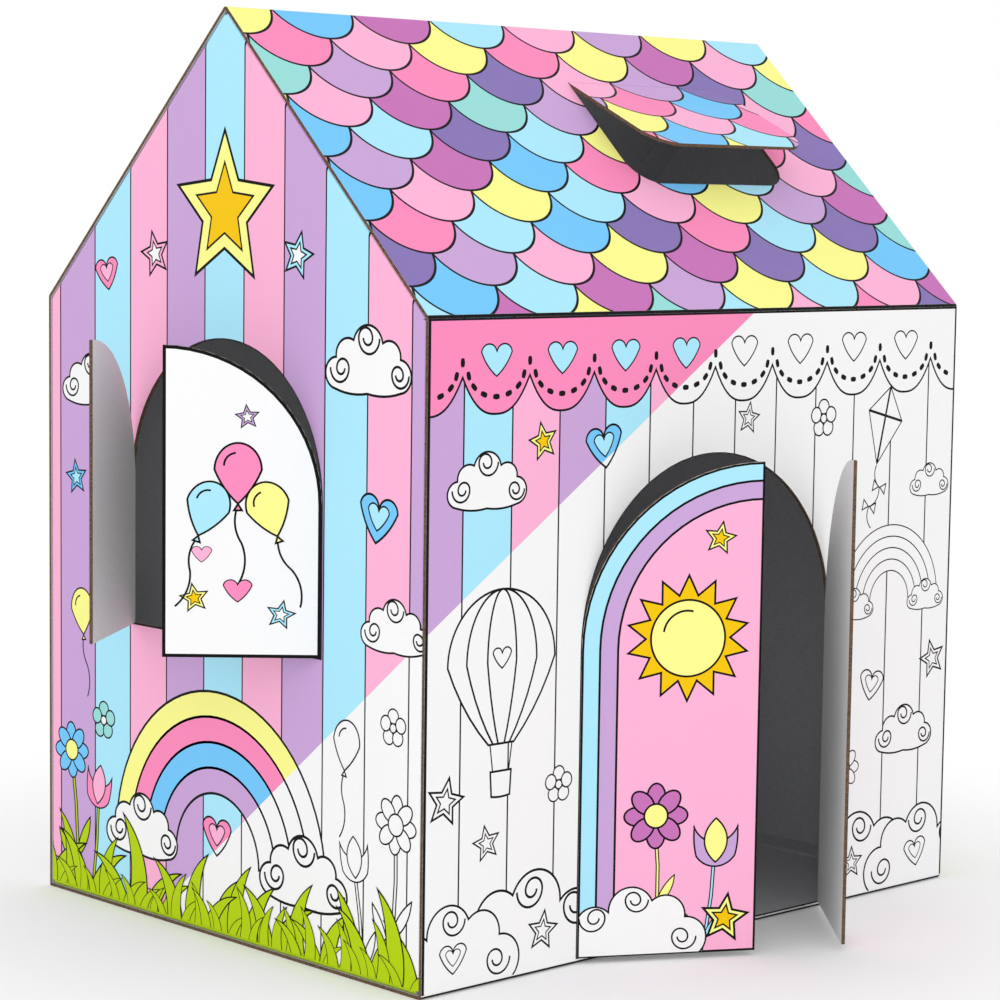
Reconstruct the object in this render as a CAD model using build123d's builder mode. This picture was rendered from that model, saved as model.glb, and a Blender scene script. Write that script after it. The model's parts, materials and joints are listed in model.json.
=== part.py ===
"""A child's playhouse of printed corrugated board: a folded wrap sheet, two gable panels and five cut flaps."""

import os
from math import atan2, cos, degrees, hypot, radians, sin, tan

from build123d import *

# Driving dimensions of the house, in millimetres
front_width = 900
house_depth = 700
eave_height = 740
ridge_height = 1080

# Corrugated board: its thickness, folds, knife cuts and glued overlaps
board = 4
fold_radius = 1
knife_gap = 0.4
glue_gap = 0.2
gable_flange_width = 55
glue_tab_width = 60
glue_tab_end_gap = 5
flange_mitre_angle = 15
right_angle = 90

# Doorway in the front wall: straight jambs, a half-round head and a low sill
doorway_width = 426
doorway_height = 573
doorway_sill_height = 6

# Window in the left gable, of the same arched shape
window_width = 354
window_height = 348
window_sill_height = 353

# Skylight in the front roof panel, right of the middle, hinged along its upper edge
skylight_width = 276
skylight_length = 176
skylight_corner_radius = 42
skylight_offset = 162
skylight_below_ridge = 101

# How far each flap stands open, in degrees
left_leaf_opening = 30
right_leaf_opening = 48
back_shutter_opening = 52
front_shutter_opening = 48
skylight_opening = 19

# Sizes that follow from the ones above
half_width = front_width / 2
half_depth = house_depth / 2
roof_rise = ridge_height - eave_height
roof_length = hypot(half_depth, roof_rise)
roof_pitch = degrees(atan2(roof_rise, half_depth))
bend_radius = fold_radius + board
roof_drop = board / cos(radians(roof_pitch))
inner_eave_height = eave_height + board * tan(radians(roof_pitch)) - roof_drop
seam_height = board + glue_gap
glue_tab_length = front_width - (gable_flange_width + glue_tab_end_gap) * 2
skylight_hinge_rise = roof_length - skylight_below_ridge

# Outer faces of the walls and of the front roof panel: x along the panel, y up it, z out of the house
front_face = Plane(origin=(0, -half_depth, 0), x_dir=(1, 0, 0), z_dir=(0, -1, 0))
back_face = Plane(origin=(0, half_depth, 0), x_dir=(-1, 0, 0), z_dir=(0, 1, 0))
left_face = Plane(origin=(-half_width, 0, 0), x_dir=(0, -1, 0), z_dir=(-1, 0, 0))
right_face = Plane(origin=(half_width, 0, 0), x_dir=(0, 1, 0), z_dir=(1, 0, 0))
roof_face = Plane(
    origin=(0, -half_depth, eave_height),
    x_dir=(1, 0, 0),
    z_dir=(0, -sin(radians(roof_pitch)), cos(radians(roof_pitch))),
)


def hinged(face, hinge_x=0, hinge_y=0, turn_x=0, turn_y=0):
    """The plane of a face after it has turned about a hinge line that lies in it."""
    hinge = Pos(hinge_x, hinge_y)
    return Plane(face.location * hinge * Rot(turn_x, turn_y) * hinge.inverse())


def draw_leaf(opening, side):
    """One half of an arched opening, drawn in by the knife's gap all round."""
    box = opening.sketch.bounding_box()
    add(opening.sketch)
    Rectangle(box.size.X, box.max.Y, align=(side, Align.MIN), mode=Mode.INTERSECT)
    offset(amount=-knife_gap, kind=Kind.INTERSECTION)


def glue_flange(fold, length, width):
    """Bend the board back along a fold and end it in a mitred flange.

    The fold's plane has x along the fold line, y across it away from the panel, and z out of the panel.
    """
    section = Plane(fold.origin - fold.x_dir * (length / 2), x_dir=fold.y_dir, z_dir=fold.x_dir)
    with BuildSketch(section) as bend:
        with BuildLine():
            outside = CenterArc((0, -bend_radius), bend_radius, 0, right_angle)
            inside = CenterArc((0, -bend_radius), fold_radius, 0, right_angle)
            Line(outside @ 0, inside @ 0)
            Line(outside @ 1, inside @ 1)
        make_face()
    extrude(bend.sketch, amount=length)

    flat = width - bend_radius
    mitre = flat * tan(radians(flange_mitre_angle))
    outer_face = fold.origin + fold.y_dir * bend_radius - fold.z_dir * bend_radius
    with BuildSketch(Plane(outer_face, x_dir=fold.x_dir, z_dir=fold.y_dir)) as flange:
        with BuildLine():
            Polyline(
                (-length / 2, 0),
                (length / 2, 0),
                (length / 2 - mitre, flat),
                (mitre - length / 2, flat),
                close=True,
            )
        make_face()
    extrude(flange.sketch, amount=-board)


def gable_tray(face):
    """A gable panel that fills the house's end, with a glue flange folded in along each of its sides."""
    with BuildSketch(face) as panel:
        add(gable_outline.sketch)
    extrude(panel.sketch, amount=-board)
    middle = panel.sketch.face().center()
    for side in panel.sketch.edges():
        along = side.tangent_at(0)
        if face.z_dir.cross(along).dot(side.center() - middle) < 0:
            along = -along
        fold = Plane(side.center(), x_dir=along, z_dir=face.z_dir)
        glue_flange(fold, side.length, gable_flange_width)


# End of the house, set back from the wrap sheet by the board, the glue and the fold
with BuildSketch() as gable_outline:
    with BuildLine():
        Polyline(
            (-half_depth, 0),
            (half_depth, 0),
            (half_depth, eave_height),
            (0, ridge_height),
            (-half_depth, eave_height),
            close=True,
        )
    make_face()
    offset(amount=-(seam_height + bend_radius), kind=Kind.INTERSECTION)

# Doorway, drawn about the middle of the front wall
with BuildSketch() as doorway:
    with BuildLine():
        doorway_jambs = Polyline(
            (doorway_width / 2, doorway_height - doorway_width / 2),
            (doorway_width / 2, doorway_sill_height),
            (-doorway_width / 2, doorway_sill_height),
            (-doorway_width / 2, doorway_height - doorway_width / 2),
        )
        ThreePointArc(doorway_jambs @ 1, (0, doorway_height), doorway_jambs @ 0)
    make_face()

# Window, drawn about the middle of the gable
window_crown = window_sill_height + window_height
with BuildSketch() as window:
    with BuildLine():
        window_jambs = Polyline(
            (window_width / 2, window_crown - window_width / 2),
            (window_width / 2, window_sill_height),
            (-window_width / 2, window_sill_height),
            (-window_width / 2, window_crown - window_width / 2),
        )
        ThreePointArc(window_jambs @ 1, (0, window_crown), window_jambs @ 0)
    make_face()

# Skylight, drawn up the slope from the eave, with its two lower corners rounded
with BuildSketch() as skylight:
    with Locations((skylight_offset, skylight_hinge_rise)):
        Rectangle(skylight_width, skylight_length, align=(Align.CENTER, Align.MAX))
    fillet(skylight.vertices().group_by(Axis.Y)[0], radius=skylight_corner_radius)

# Wrap sheet: floor, front wall, both roof slopes and back wall in one folded length of board
with BuildPart() as wrap_sheet:
    with BuildSketch(Plane.YZ):
        with BuildLine():
            outside = FilletPolyline(
                (half_depth, 0),
                (-half_depth, 0),
                (-half_depth, eave_height),
                (0, ridge_height),
                (half_depth, eave_height),
                (half_depth, seam_height),
                radius=bend_radius,
            )
            inside = FilletPolyline(
                (half_depth, board),
                (board - half_depth, board),
                (board - half_depth, inner_eave_height),
                (0, ridge_height - roof_drop),
                (half_depth - board, inner_eave_height),
                (half_depth - board, seam_height),
                radius=fold_radius,
            )
            Line(outside @ 0, inside @ 0)
            Line(outside @ 1, inside @ 1)
        make_face()
    extrude(amount=half_width, both=True)
    # The back wall's foot turns in as a tab that is glued down on the floor
    with BuildSketch(back_face):
        with Locations((0, seam_height)):
            Rectangle(glue_tab_length, bend_radius, align=(Align.CENTER, Align.MIN))
    extrude(amount=-board, mode=Mode.SUBTRACT)
    tab_fold = Plane((0, half_depth, seam_height + bend_radius), x_dir=(1, 0, 0), z_dir=(0, 1, 0))
    glue_flange(tab_fold, glue_tab_length, glue_tab_width)
    # Doorway and skylight are knifed out of the sheet
    with BuildSketch(front_face):
        add(doorway.sketch)
    extrude(amount=-board, mode=Mode.SUBTRACT)
    with BuildSketch(roof_face):
        add(skylight.sketch)
    extrude(amount=-board, mode=Mode.SUBTRACT)

# Left gable panel, with the window
with BuildPart() as left_gable_panel:
    gable_tray(left_face)
    with BuildSketch(left_face):
        add(window.sketch)
    extrude(amount=-board, mode=Mode.SUBTRACT)

# Right gable panel, plain
with BuildPart() as right_gable_panel:
    gable_tray(right_face)

# Door leaves, each hinged at its jamb
with BuildPart() as door_leaf_left:
    with BuildSketch(hinged(front_face, hinge_x=-doorway_width / 2, turn_y=-left_leaf_opening)):
        draw_leaf(doorway, Align.MAX)
    extrude(amount=-board)

with BuildPart() as door_leaf_right:
    with BuildSketch(hinged(front_face, hinge_x=doorway_width / 2, turn_y=right_leaf_opening)):
        draw_leaf(doorway, Align.MIN)
    extrude(amount=-board)

# Window shutters: seen from outside, the back one hinges on the left and the front one on the right
with BuildPart() as window_shutter_back:
    with BuildSketch(hinged(left_face, hinge_x=-window_width / 2, turn_y=-back_shutter_opening)):
        draw_leaf(window, Align.MAX)
    extrude(amount=-board)

with BuildPart() as window_shutter_front:
    with BuildSketch(hinged(left_face, hinge_x=window_width / 2, turn_y=front_shutter_opening)):
        draw_leaf(window, Align.MIN)
    extrude(amount=-board)

# Skylight flap, lifted about its upper edge
with BuildPart() as skylight_flap:
    with BuildSketch(hinged(roof_face, hinge_y=skylight_hinge_rise, turn_x=-skylight_opening)):
        add(skylight.sketch)
        offset(amount=-knife_gap)
    extrude(amount=-board)

pieces = {
    "wrap_sheet": wrap_sheet,
    "left_gable_panel": left_gable_panel,
    "right_gable_panel": right_gable_panel,
    "door_leaf_left": door_leaf_left,
    "door_leaf_right": door_leaf_right,
    "window_shutter_back": window_shutter_back,
    "window_shutter_front": window_shutter_front,
    "skylight_flap": skylight_flap,
}
os.makedirs("parts", exist_ok=True)
for name, piece in pieces.items():
    piece.part.label = name
    export_step(piece.part, f"parts/{name}.step")
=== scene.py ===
# %% [markdown]
# # A printed cardboard playhouse
# The house is folded from two kinds of corrugated board blank: one long sheet that is floor, front, roof
# and back, and two gable trays that are glued in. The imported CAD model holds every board, fold and flap,
# so nothing of the shape is made again here. This lesson lays the print on it, the way a printer would:
# flat inks, one over the other. A picture mapped onto each panel would do as well, but drawn shapes stay
# sharp from close by and need no other file, so each print here is a very thin skin on its own panel.

# %% Load the frame
import json
import math
import random

import bpy
from mathutils import Matrix, Vector


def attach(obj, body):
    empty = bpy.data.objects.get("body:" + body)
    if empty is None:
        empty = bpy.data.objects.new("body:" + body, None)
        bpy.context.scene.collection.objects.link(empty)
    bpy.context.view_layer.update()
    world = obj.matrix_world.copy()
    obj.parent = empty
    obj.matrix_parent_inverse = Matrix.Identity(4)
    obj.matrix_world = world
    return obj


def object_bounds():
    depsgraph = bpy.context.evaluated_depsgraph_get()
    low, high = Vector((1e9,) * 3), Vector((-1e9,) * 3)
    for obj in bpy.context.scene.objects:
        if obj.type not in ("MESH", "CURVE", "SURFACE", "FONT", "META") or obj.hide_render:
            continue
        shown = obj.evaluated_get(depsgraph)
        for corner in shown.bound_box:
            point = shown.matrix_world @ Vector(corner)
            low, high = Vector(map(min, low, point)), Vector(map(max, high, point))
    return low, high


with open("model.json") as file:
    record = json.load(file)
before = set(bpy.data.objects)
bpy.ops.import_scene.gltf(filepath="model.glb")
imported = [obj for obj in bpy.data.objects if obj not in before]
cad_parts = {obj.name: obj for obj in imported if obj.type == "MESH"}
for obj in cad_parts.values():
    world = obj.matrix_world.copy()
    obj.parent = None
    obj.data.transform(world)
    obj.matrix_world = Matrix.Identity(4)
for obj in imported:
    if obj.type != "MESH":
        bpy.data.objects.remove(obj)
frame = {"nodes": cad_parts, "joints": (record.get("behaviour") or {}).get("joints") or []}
cad_low, cad_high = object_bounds()
print("CAD box", [round(v, 4) for v in (*cad_low, *cad_high)])

# %% [markdown]
# ## Panels
# A print is easiest to draw flat, in millimetres, on a panel that lies in front of you. Each panel gets
# a matrix: x runs along it, y up it and z out of the house. A flap's print is drawn on the closed wall and
# then turned about its crease by the angle at which the flap stands open, which the joint's range tells.
# The turned places could be typed instead, but then they would not follow the joint.

# %% Panel frames
MM = 0.001
# The flaps open to the left and to the front, so the CAD box's right and back sides are the house's own
HALF_WIDTH, HALF_DEPTH = (round(reach / MM) for reach in cad_high[:2])
EAVE, RIDGE = 740, 1080
ROOF_LENGTH = math.hypot(HALF_DEPTH, RIDGE - EAVE)
PITCH = math.atan2(RIDGE - EAVE, HALF_DEPTH)
ROOF_OUT = Vector((0, -math.sin(PITCH), math.cos(PITCH)))


def panel(origin, across, out):
    """The frame of a panel, in millimetres, from its origin, its x direction and its outward normal."""
    across, out = Vector(across), Vector(out)
    axes = Matrix((across, out.cross(across), out)).transposed().to_4x4()
    return Matrix.Translation(Vector(origin) * MM) @ axes @ Matrix.Scale(MM, 4)


def opened(crease, wall):
    """The frame of a flap that is drawn on its closed wall and stands open at rest."""
    joint = next(j for j in frame["joints"] if j["name"] == crease)
    hinge = Matrix.Translation(joint["pos_m"])
    angle = -math.radians(joint["range_deg"][0])
    turn = Matrix.Rotation(angle, 4, Vector(joint["axis"]))
    return hinge @ turn @ hinge.inverted() @ wall


front_wall = panel((0, -HALF_DEPTH, 0), (1, 0, 0), (0, -1, 0))
back_wall = panel((0, HALF_DEPTH, 0), (-1, 0, 0), (0, 1, 0))
left_gable = panel((-HALF_WIDTH, 0, 0), (0, -1, 0), (-1, 0, 0))
right_gable = panel((HALF_WIDTH, 0, 0), (0, 1, 0), (1, 0, 0))
front_roof = panel((0, -HALF_DEPTH, EAVE), (1, 0, 0), ROOF_OUT)
back_roof = panel((0, HALF_DEPTH, EAVE), (-1, 0, 0), (0, -ROOF_OUT.y, ROOF_OUT.z))
left_leaf = opened("door_left_crease", front_wall)
right_leaf = opened("door_right_crease", front_wall)
back_shutter = opened("shutter_back_crease", left_gable)
front_shutter = opened("shutter_front_crease", left_gable)
skylight = opened("skylight_crease", front_roof)
print("roof slope", round(ROOF_LENGTH, 1), "mm at", round(math.degrees(PITCH), 1), "degrees")

# %% [markdown]
# ## Nodes and colours
# A material is a small tree of nodes, which could be added and linked one by one. Here one function adds
# a node with its settings and links, so that a recipe reads as a list of nodes. Another turns the sRGB
# colours that a designer writes into the linear ones that light is counted in.

# %% Node helpers
def linear(hex_colour):
    """An sRGB hex colour as linear red, green, blue and alpha, by the sRGB standard's own curve."""
    shares = [int(hex_colour[i : i + 2], 16) / 255 for i in (1, 3, 5)]
    return (*(s / 12.92 if s <= 0.04045 else ((s + 0.055) / 1.055) ** 2.4 for s in shares), 1)


def add(tree, kind, sockets=None, **settings):
    """A new node with its settings, and its sockets set to a value or linked to another node's output."""
    made = tree.nodes.new(kind)
    for name, value in settings.items():
        setattr(made, name, value)
    for name, value in (sockets or {}).items():
        if isinstance(value, bpy.types.NodeSocket):
            tree.links.new(value, made.inputs[name])
        else:
            made.inputs[name].default_value = value
    return made


def new_material(name):
    """An empty material and its tree."""
    material = bpy.data.materials.new(name)
    material.use_nodes = True
    material.node_tree.nodes.clear()
    return material, material.node_tree


print("white is", linear("#FFFFFF"))

# %% [markdown]
# ## Inks on white-top board
# The outside is a white clay-coated liner with offset inks and a satin dispersion varnish. The inks are flat
# solid colours, so each keeps one colour, and what the eye sees besides is the board: the flutes telegraph
# through the liner as faint ribs, the paper has a fine fibre grain, and the varnish is a little uneven.
# Ribs this low could be modelled, but as bump they look the same and cost no faces. The relief follows
# each panel's own UV map, in metres. The grain is drawn coarser than real fibres, so that it shows at all.

# %% Relief of the board
FLUTE_PITCH, FLUTE_HEIGHT, FLUTE_STRENGTH = 7.9 * MM, 0.05 * MM, 0.35
FIBRE_SIZE, FIBRE_HEIGHT, FIBRE_STRENGTH = 1.6 * MM, 0.06 * MM, 0.25
# A wave texture of scale 1 repeats at this length
WAVE_PERIOD = math.tau / 20


def board_relief(tree, place, across="X"):
    """The normal of a liner with the flutes and the paper's fibres in it."""
    flutes = add(
        tree,
        "ShaderNodeTexWave",
        {"Vector": place, "Scale": WAVE_PERIOD / FLUTE_PITCH},
        bands_direction=across,
    )
    ribs = add(
        tree,
        "ShaderNodeBump",
        {"Height": flutes.outputs["Fac"], "Strength": FLUTE_STRENGTH, "Distance": FLUTE_HEIGHT},
    )
    fibres = add(tree, "ShaderNodeTexNoise", {"Vector": place, "Scale": 1 / FIBRE_SIZE, "Detail": 3})
    grain = add(
        tree,
        "ShaderNodeBump",
        {
            "Height": fibres.outputs["Fac"],
            "Strength": FIBRE_STRENGTH,
            "Distance": FIBRE_HEIGHT,
            "Normal": ribs.outputs["Normal"],
        },
    )
    return grain.outputs["Normal"]


print("flutes", round(FLUTE_PITCH / MM, 1), "mm apart")

# %% Ink colours
INK_COLOURS = {
    "black": "#080607",
    "white": "#FAFAFA",
    "pink": "#FFB6D9",
    "lilac": "#CDA8DB",
    "sky": "#AFEBFF",
    "hot_pink": "#FF8FC0",
    "violet": "#8A78B8",
    "magenta": "#CB76BB",
    "yellow": "#FFFE93",
    "mint": "#9CE0DC",
    "blue": "#77CBFF",
    "gold": "#F9C900",
    "grass": "#B8D500",
}
print(len(INK_COLOURS), "ink colours")

# %% Inks
PRINT_MAP = "sheet"
VARNISH_PATCH = 45 * MM
PATCH_LOW, PATCH_HIGH = 0.3, 0.7
VARNISH_SMOOTH, VARNISH_ROUGH = 0.5, 0.64
PAPER_IOR, INK_SPECULAR = 1.45, 0.16


def printed_liner(name, hex_colour):
    """Offset ink under satin varnish: one solid colour, with the board's relief and an uneven gloss."""
    material, tree = new_material(name)
    place = add(tree, "ShaderNodeUVMap", uv_map=PRINT_MAP).outputs["UV"]
    patches = add(tree, "ShaderNodeTexNoise", {"Vector": place, "Scale": 1 / VARNISH_PATCH, "Detail": 4})
    gloss = add(
        tree,
        "ShaderNodeMapRange",
        {
            "Value": patches.outputs["Fac"],
            "From Min": PATCH_LOW,
            "From Max": PATCH_HIGH,
            "To Min": VARNISH_SMOOTH,
            "To Max": VARNISH_ROUGH,
        },
    )
    surface = add(
        tree,
        "ShaderNodeBsdfPrincipled",
        {
            "Base Color": linear(hex_colour),
            "Normal": board_relief(tree, place),
            "Roughness": gloss.outputs["Result"],
            "IOR": PAPER_IOR,
            "Specular IOR Level": INK_SPECULAR,
        },
    )
    add(tree, "ShaderNodeOutputMaterial", {"Surface": surface.outputs["BSDF"]})
    return material


inks = [printed_liner(f"{name}_offset_ink", colour) for name, colour in INK_COLOURS.items()]
BLACK, WHITE, PINK, LILAC, SKY, HOT_PINK, VIOLET, MAGENTA, YELLOW, MINT, BLUE, GOLD, GRASS = range(len(inks))
print("first ink", inks[BLACK].name, "and last ink", inks[GRASS].name)

# %% [markdown]
# ## Bare board
# Where there is no print the board shows its own papers: a white liner on the inside of the flaps, a grey
# liner inside the house, and the brown cut edge, where a knife went through two liners and the fluted paper
# between them. The grey inside the house is painted shade: it is darker than the white of the flaps'
# insides, so that the closed house looks dim inside. Pulp is flecked, so each paper wanders between two near
# shades instead of keeping one flat colour. These sit on the CAD boards themselves, so they read Object
# coordinates.

# %% Bare board materials
PULP_FLECK, EDGE_GRAIN = 3.5 * MM, 2.2 * MM
PULP_LOW, PULP_HIGH = 0.35, 0.65
LINER_SMOOTH, LINER_ROUGH = 0.78, 0.95
LINER_SPECULAR = 0.12


def bare_liner(name, dark, light, fleck, across):
    """An unprinted liner: its colour wanders between two shades with the flecks of the pulp."""
    material, tree = new_material(name)
    place = add(tree, "ShaderNodeTexCoord").outputs["Object"]
    pulp = add(tree, "ShaderNodeTexNoise", {"Vector": place, "Scale": 1 / fleck, "Detail": 5}).outputs["Fac"]
    tooth = add(tree, "ShaderNodeMapRange", {"Value": pulp, "To Min": LINER_SMOOTH, "To Max": LINER_ROUGH})
    shade = add(tree, "ShaderNodeValToRGB", {"Fac": pulp})
    for stop, at, colour in zip(shade.color_ramp.elements, (PULP_LOW, PULP_HIGH), (dark, light)):
        stop.position, stop.color = at, linear(colour)
    surface = add(
        tree,
        "ShaderNodeBsdfPrincipled",
        {
            "Base Color": shade.outputs["Color"],
            "Normal": board_relief(tree, place, across),
            "Roughness": tooth.outputs["Result"],
            "IOR": PAPER_IOR,
            "Specular IOR Level": LINER_SPECULAR,
        },
    )
    add(tree, "ShaderNodeOutputMaterial", {"Surface": surface.outputs["BSDF"]})
    return material


white_liner_wrap = bare_liner("white_liner_flutes_x", "#F4F4F3", "#FBFBFA", PULP_FLECK, "X")
white_liner_gable = bare_liner("white_liner_flutes_y", "#F4F4F3", "#FBFBFA", PULP_FLECK, "Y")
# The grey inside liner is painted shade: it makes the closed house darker inside than white board would be
painted_shade_liner_wrap = bare_liner("painted_shade_liner_flutes_x", "#C0C1C4", "#CBCCCF", PULP_FLECK, "X")
painted_shade_liner_gable = bare_liner("painted_shade_liner_flutes_y", "#C0C1C4", "#CBCCCF", PULP_FLECK, "Y")
kraft_edge = bare_liner("kraft_cut_edge", "#523F31", "#7C6552", EDGE_GRAIN, "Z")
print("bare boards", [m.name for m in (white_liner_wrap, painted_shade_liner_wrap, kraft_edge)])

# %% [markdown]
# ## Dressing the CAD boards
# Every CAD board keeps its mesh. Its faces only choose between a few papers, by where they lie and which
# way they face: the printed outside, the bare inside, which inside the house is a grey for painted shade,
# and what a knife cut across. Faces could be picked one by one, but a rule still holds after the next pack.
# On the wrap sheet, the folds at the eaves and at the foot also carry the printed black line that frames
# each wall.

# %% Papers of the CAD boards
OUTSIDE, INSIDE, CUT_EDGE, FRAME_LINE = range(4)
BOARD, FOLD_RADIUS = 4, 5
# Below the first share of a normal a face stands across its board; above the second it leans as a fold does
ACROSS_SHARE, TILT_SHARE = 0.3, 0.02
MIDDLE_HEIGHT = 444
WINDOW_HALF, WINDOW_SPRING, WINDOW_SILL = 177, 524, 353


def wrap_paper(centre, normal):
    """Papers of the folded sheet: the house's middle line tells outside from inside."""
    on_wall = abs(abs(centre.y) - HALF_DEPTH + BOARD / 2) < BOARD
    between_folds = FOLD_RADIUS < centre.z < EAVE - FOLD_RADIUS * 2
    in_doorway = on_wall and between_folds and abs(normal.y) < ACROSS_SHARE
    on_front_roof = centre.y < 0 and centre.z > EAVE + FOLD_RADIUS
    in_skylight = on_front_roof and abs(normal.dot(ROOF_OUT)) < ACROSS_SHARE
    if abs(normal.x) > ACROSS_SHARE or in_doorway or in_skylight:
        return CUT_EDGE
    if normal.y * centre.y + normal.z * (centre.z - MIDDLE_HEIGHT) < 0:
        return INSIDE
    near_foot = on_wall and centre.z < FOLD_RADIUS and normal.z < -ACROSS_SHARE
    near_eave = on_wall and abs(centre.z - EAVE) < FOLD_RADIUS and abs(normal.z) > TILT_SHARE
    return FRAME_LINE if near_foot or near_eave else OUTSIDE


def gable_paper(side):
    """Papers of a gable tray: outside over its folds, cut edges in the window, and inside elsewhere."""
    window_top = WINDOW_SPRING + WINDOW_HALF

    def choose(centre, normal):
        depth = HALF_WIDTH - side * centre.x
        if normal.x * side > TILT_SHARE and depth < BOARD * 2:
            return OUTSIDE
        beside = abs(centre.y) < WINDOW_HALF + BOARD and WINDOW_SILL - BOARD < centre.z < window_top + BOARD
        return CUT_EDGE if beside and abs(normal.x) < ACROSS_SHARE and depth < BOARD else INSIDE

    return choose


def flap_paper(place):
    """Papers of a flap, told apart by which way they face in the flap's own frame."""
    out = (place.to_3x3() @ Vector((0, 0, 1))).normalized()

    def choose(centre, normal):
        facing = normal.dot(out)
        return CUT_EDGE if abs(facing) < ACROSS_SHARE else (OUTSIDE if facing > 0 else INSIDE)

    return choose


print("board", BOARD, "mm thick, folded to an outer radius of", FOLD_RADIUS, "mm")

# %% Dress every board
def dress(node, papers, choose):
    """Give each face of a CAD board one of its papers, chosen from the face's centre and normal."""
    board = frame["nodes"][node]
    board.data.materials.clear()
    for paper in papers:
        board.data.materials.append(paper)
    for face in board.data.polygons:
        face.material_index = choose(face.center / MM, face.normal)
    print(node, len(board.data.polygons), "faces")


wrap_papers = (white_liner_wrap, painted_shade_liner_wrap, kraft_edge, inks[BLACK])
gable_papers = (white_liner_gable, painted_shade_liner_gable, kraft_edge)
flap_papers = (white_liner_wrap, white_liner_wrap, kraft_edge)
dress("wrap_sheet", wrap_papers, wrap_paper)
dress("left_gable_panel", gable_papers, gable_paper(-1))
dress("right_gable_panel", gable_papers, gable_paper(1))
dress("door_leaf_left", flap_papers, flap_paper(left_leaf))
dress("door_leaf_right", flap_papers, flap_paper(right_leaf))
dress("window_shutter_back", flap_papers, flap_paper(back_shutter))
dress("window_shutter_front", flap_papers, flap_paper(front_shutter))
dress("skylight_flap", wrap_papers, flap_paper(skylight))

# %% [markdown]
# ## Outlines
# A drawing program keeps an outline as corners, with a bulge for each side that is an arc. The same is
# done here, because a few corners are easier to read and to change than many points along a curve: a
# corner is (x, y) or (x, y, bulge), and a bulge of 1 is a half circle. A pen stroke is the outline of a
# strip of one width along such a line.

# %% Outlines
ARC_STEP = math.radians(5)


def traced(corners, closed=True):
    """The points along an outline, with its bulged sides drawn out as arcs."""
    points = []
    for start, end in zip(corners, corners[1:] + corners[:1] if closed else corners[1:]):
        a, b = Vector(start[:2]), Vector(end[:2])
        points.append(a)
        bulge = start[2] if len(start) > 2 else 0
        if not bulge:
            continue
        sweep = 4 * math.atan(bulge)
        chord = b - a
        middle = (a + b) / 2 + Vector((-chord.y, chord.x)) * (1 - bulge * bulge) / (4 * bulge)
        steps = max(2, math.ceil(abs(sweep) / ARC_STEP))
        for i in range(1, steps):
            points.append(middle + Matrix.Rotation(sweep * i / steps, 2) @ (a - middle))
    if not closed:
        points.append(Vector(corners[-1][:2]))
    return points


def ribbon(corners, width):
    """The outline of a pen stroke of one width along an open line."""
    path = traced(corners, closed=False)
    left, right = [], []
    for i, point in enumerate(path):
        ahead = path[min(i + 1, len(path) - 1)] - path[max(i - 1, 0)]
        side = Vector((-ahead.y, ahead.x)).normalized() * width / 2
        left.append(tuple(point + side))
        right.append(tuple(point - side))
    return right + left[::-1]


def scaled(corners, across, up, x=0, y=0):
    """A unit outline brought to its size and place."""
    return [(x + p[0] * across, y + p[1] * up) for p in traced(corners)]


def disc(x, y, radius):
    """A circle, as two half circles."""
    return [(x - radius, y, 1), (x + radius, y, 1)]


print("a circle has", len(traced(disc(0, 0, 1))), "points")

# %% [markdown]
# ## Inked shapes
# A printed shape is an outline filled with ink and rimmed by a black line. The line could be a shape of its
# own, but one inset gives both: a filled circle with as many corners as the outline has its corners moved
# onto it, the inset's rim is the black line, at the same width all round, and the middle takes the colour.
# Shapes that lie over others sit a few hundredths of a millimetre higher.

# %% Inked shapes
LAYER = 0.05
LINE, FINE_LINE = 2.5, 1.8
# Edit mode selects faces only, so that an inset leaves just its middle face selected
bpy.context.tool_settings.mesh_select_mode = (False, False, True)


def draw(corners, ink, layer=0, line=LINE, hollow=False):
    """One printed shape: a black rim and an ink inside it, or solid black where the ink is black."""
    path = traced(corners)
    bpy.ops.object.select_all(action="DESELECT")
    bpy.ops.mesh.primitive_circle_add(vertices=len(path), radius=1, fill_type="NGON")
    shape = bpy.context.object
    for vertex, point in zip(shape.data.vertices, path):
        vertex.co = (*point, layer * LAYER)
    bpy.ops.object.mode_set(mode="EDIT")
    bpy.ops.mesh.select_all(action="SELECT")
    if ink != BLACK:
        bpy.ops.mesh.inset(thickness=line)
    if hollow:
        bpy.ops.mesh.delete(type="ONLY_FACE")
        bpy.ops.mesh.select_all(action="DESELECT")
    bpy.ops.object.mode_set(mode="OBJECT")
    for material in inks:
        shape.data.materials.append(material)
    for face in shape.data.polygons:
        face.material_index = ink if face.select else BLACK
    shape.data.update()
    if shape.data.polygons[0].normal.z < 0:
        shape.data.flip_normals()
    return shape


def stroke(corners, width=LINE, layer=0):
    """One black pen stroke."""
    return draw(ribbon(corners, width), BLACK, layer)


def joined(shapes):
    """Several shapes made one object."""
    bpy.ops.object.select_all(action="DESELECT")
    for shape in shapes:
        shape.select_set(True)
    bpy.context.view_layer.objects.active = shapes[0]
    bpy.ops.object.join()
    return shapes[0]


print("layers", LAYER, "mm apart")

# %% [markdown]
# ## Copies and cuts
# A motif is drawn once and stamped wherever it is needed, as a rubber stamp would do it. Copies could share
# one mesh, but each has its own here, so that it can take other inks and be cut by itself. Where a print
# ends, at an edge or an opening, bisect cuts it along a straight line and can drop what lies beyond.

# %% Copies and cuts
CUT_MERGE = 1e-5


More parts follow.
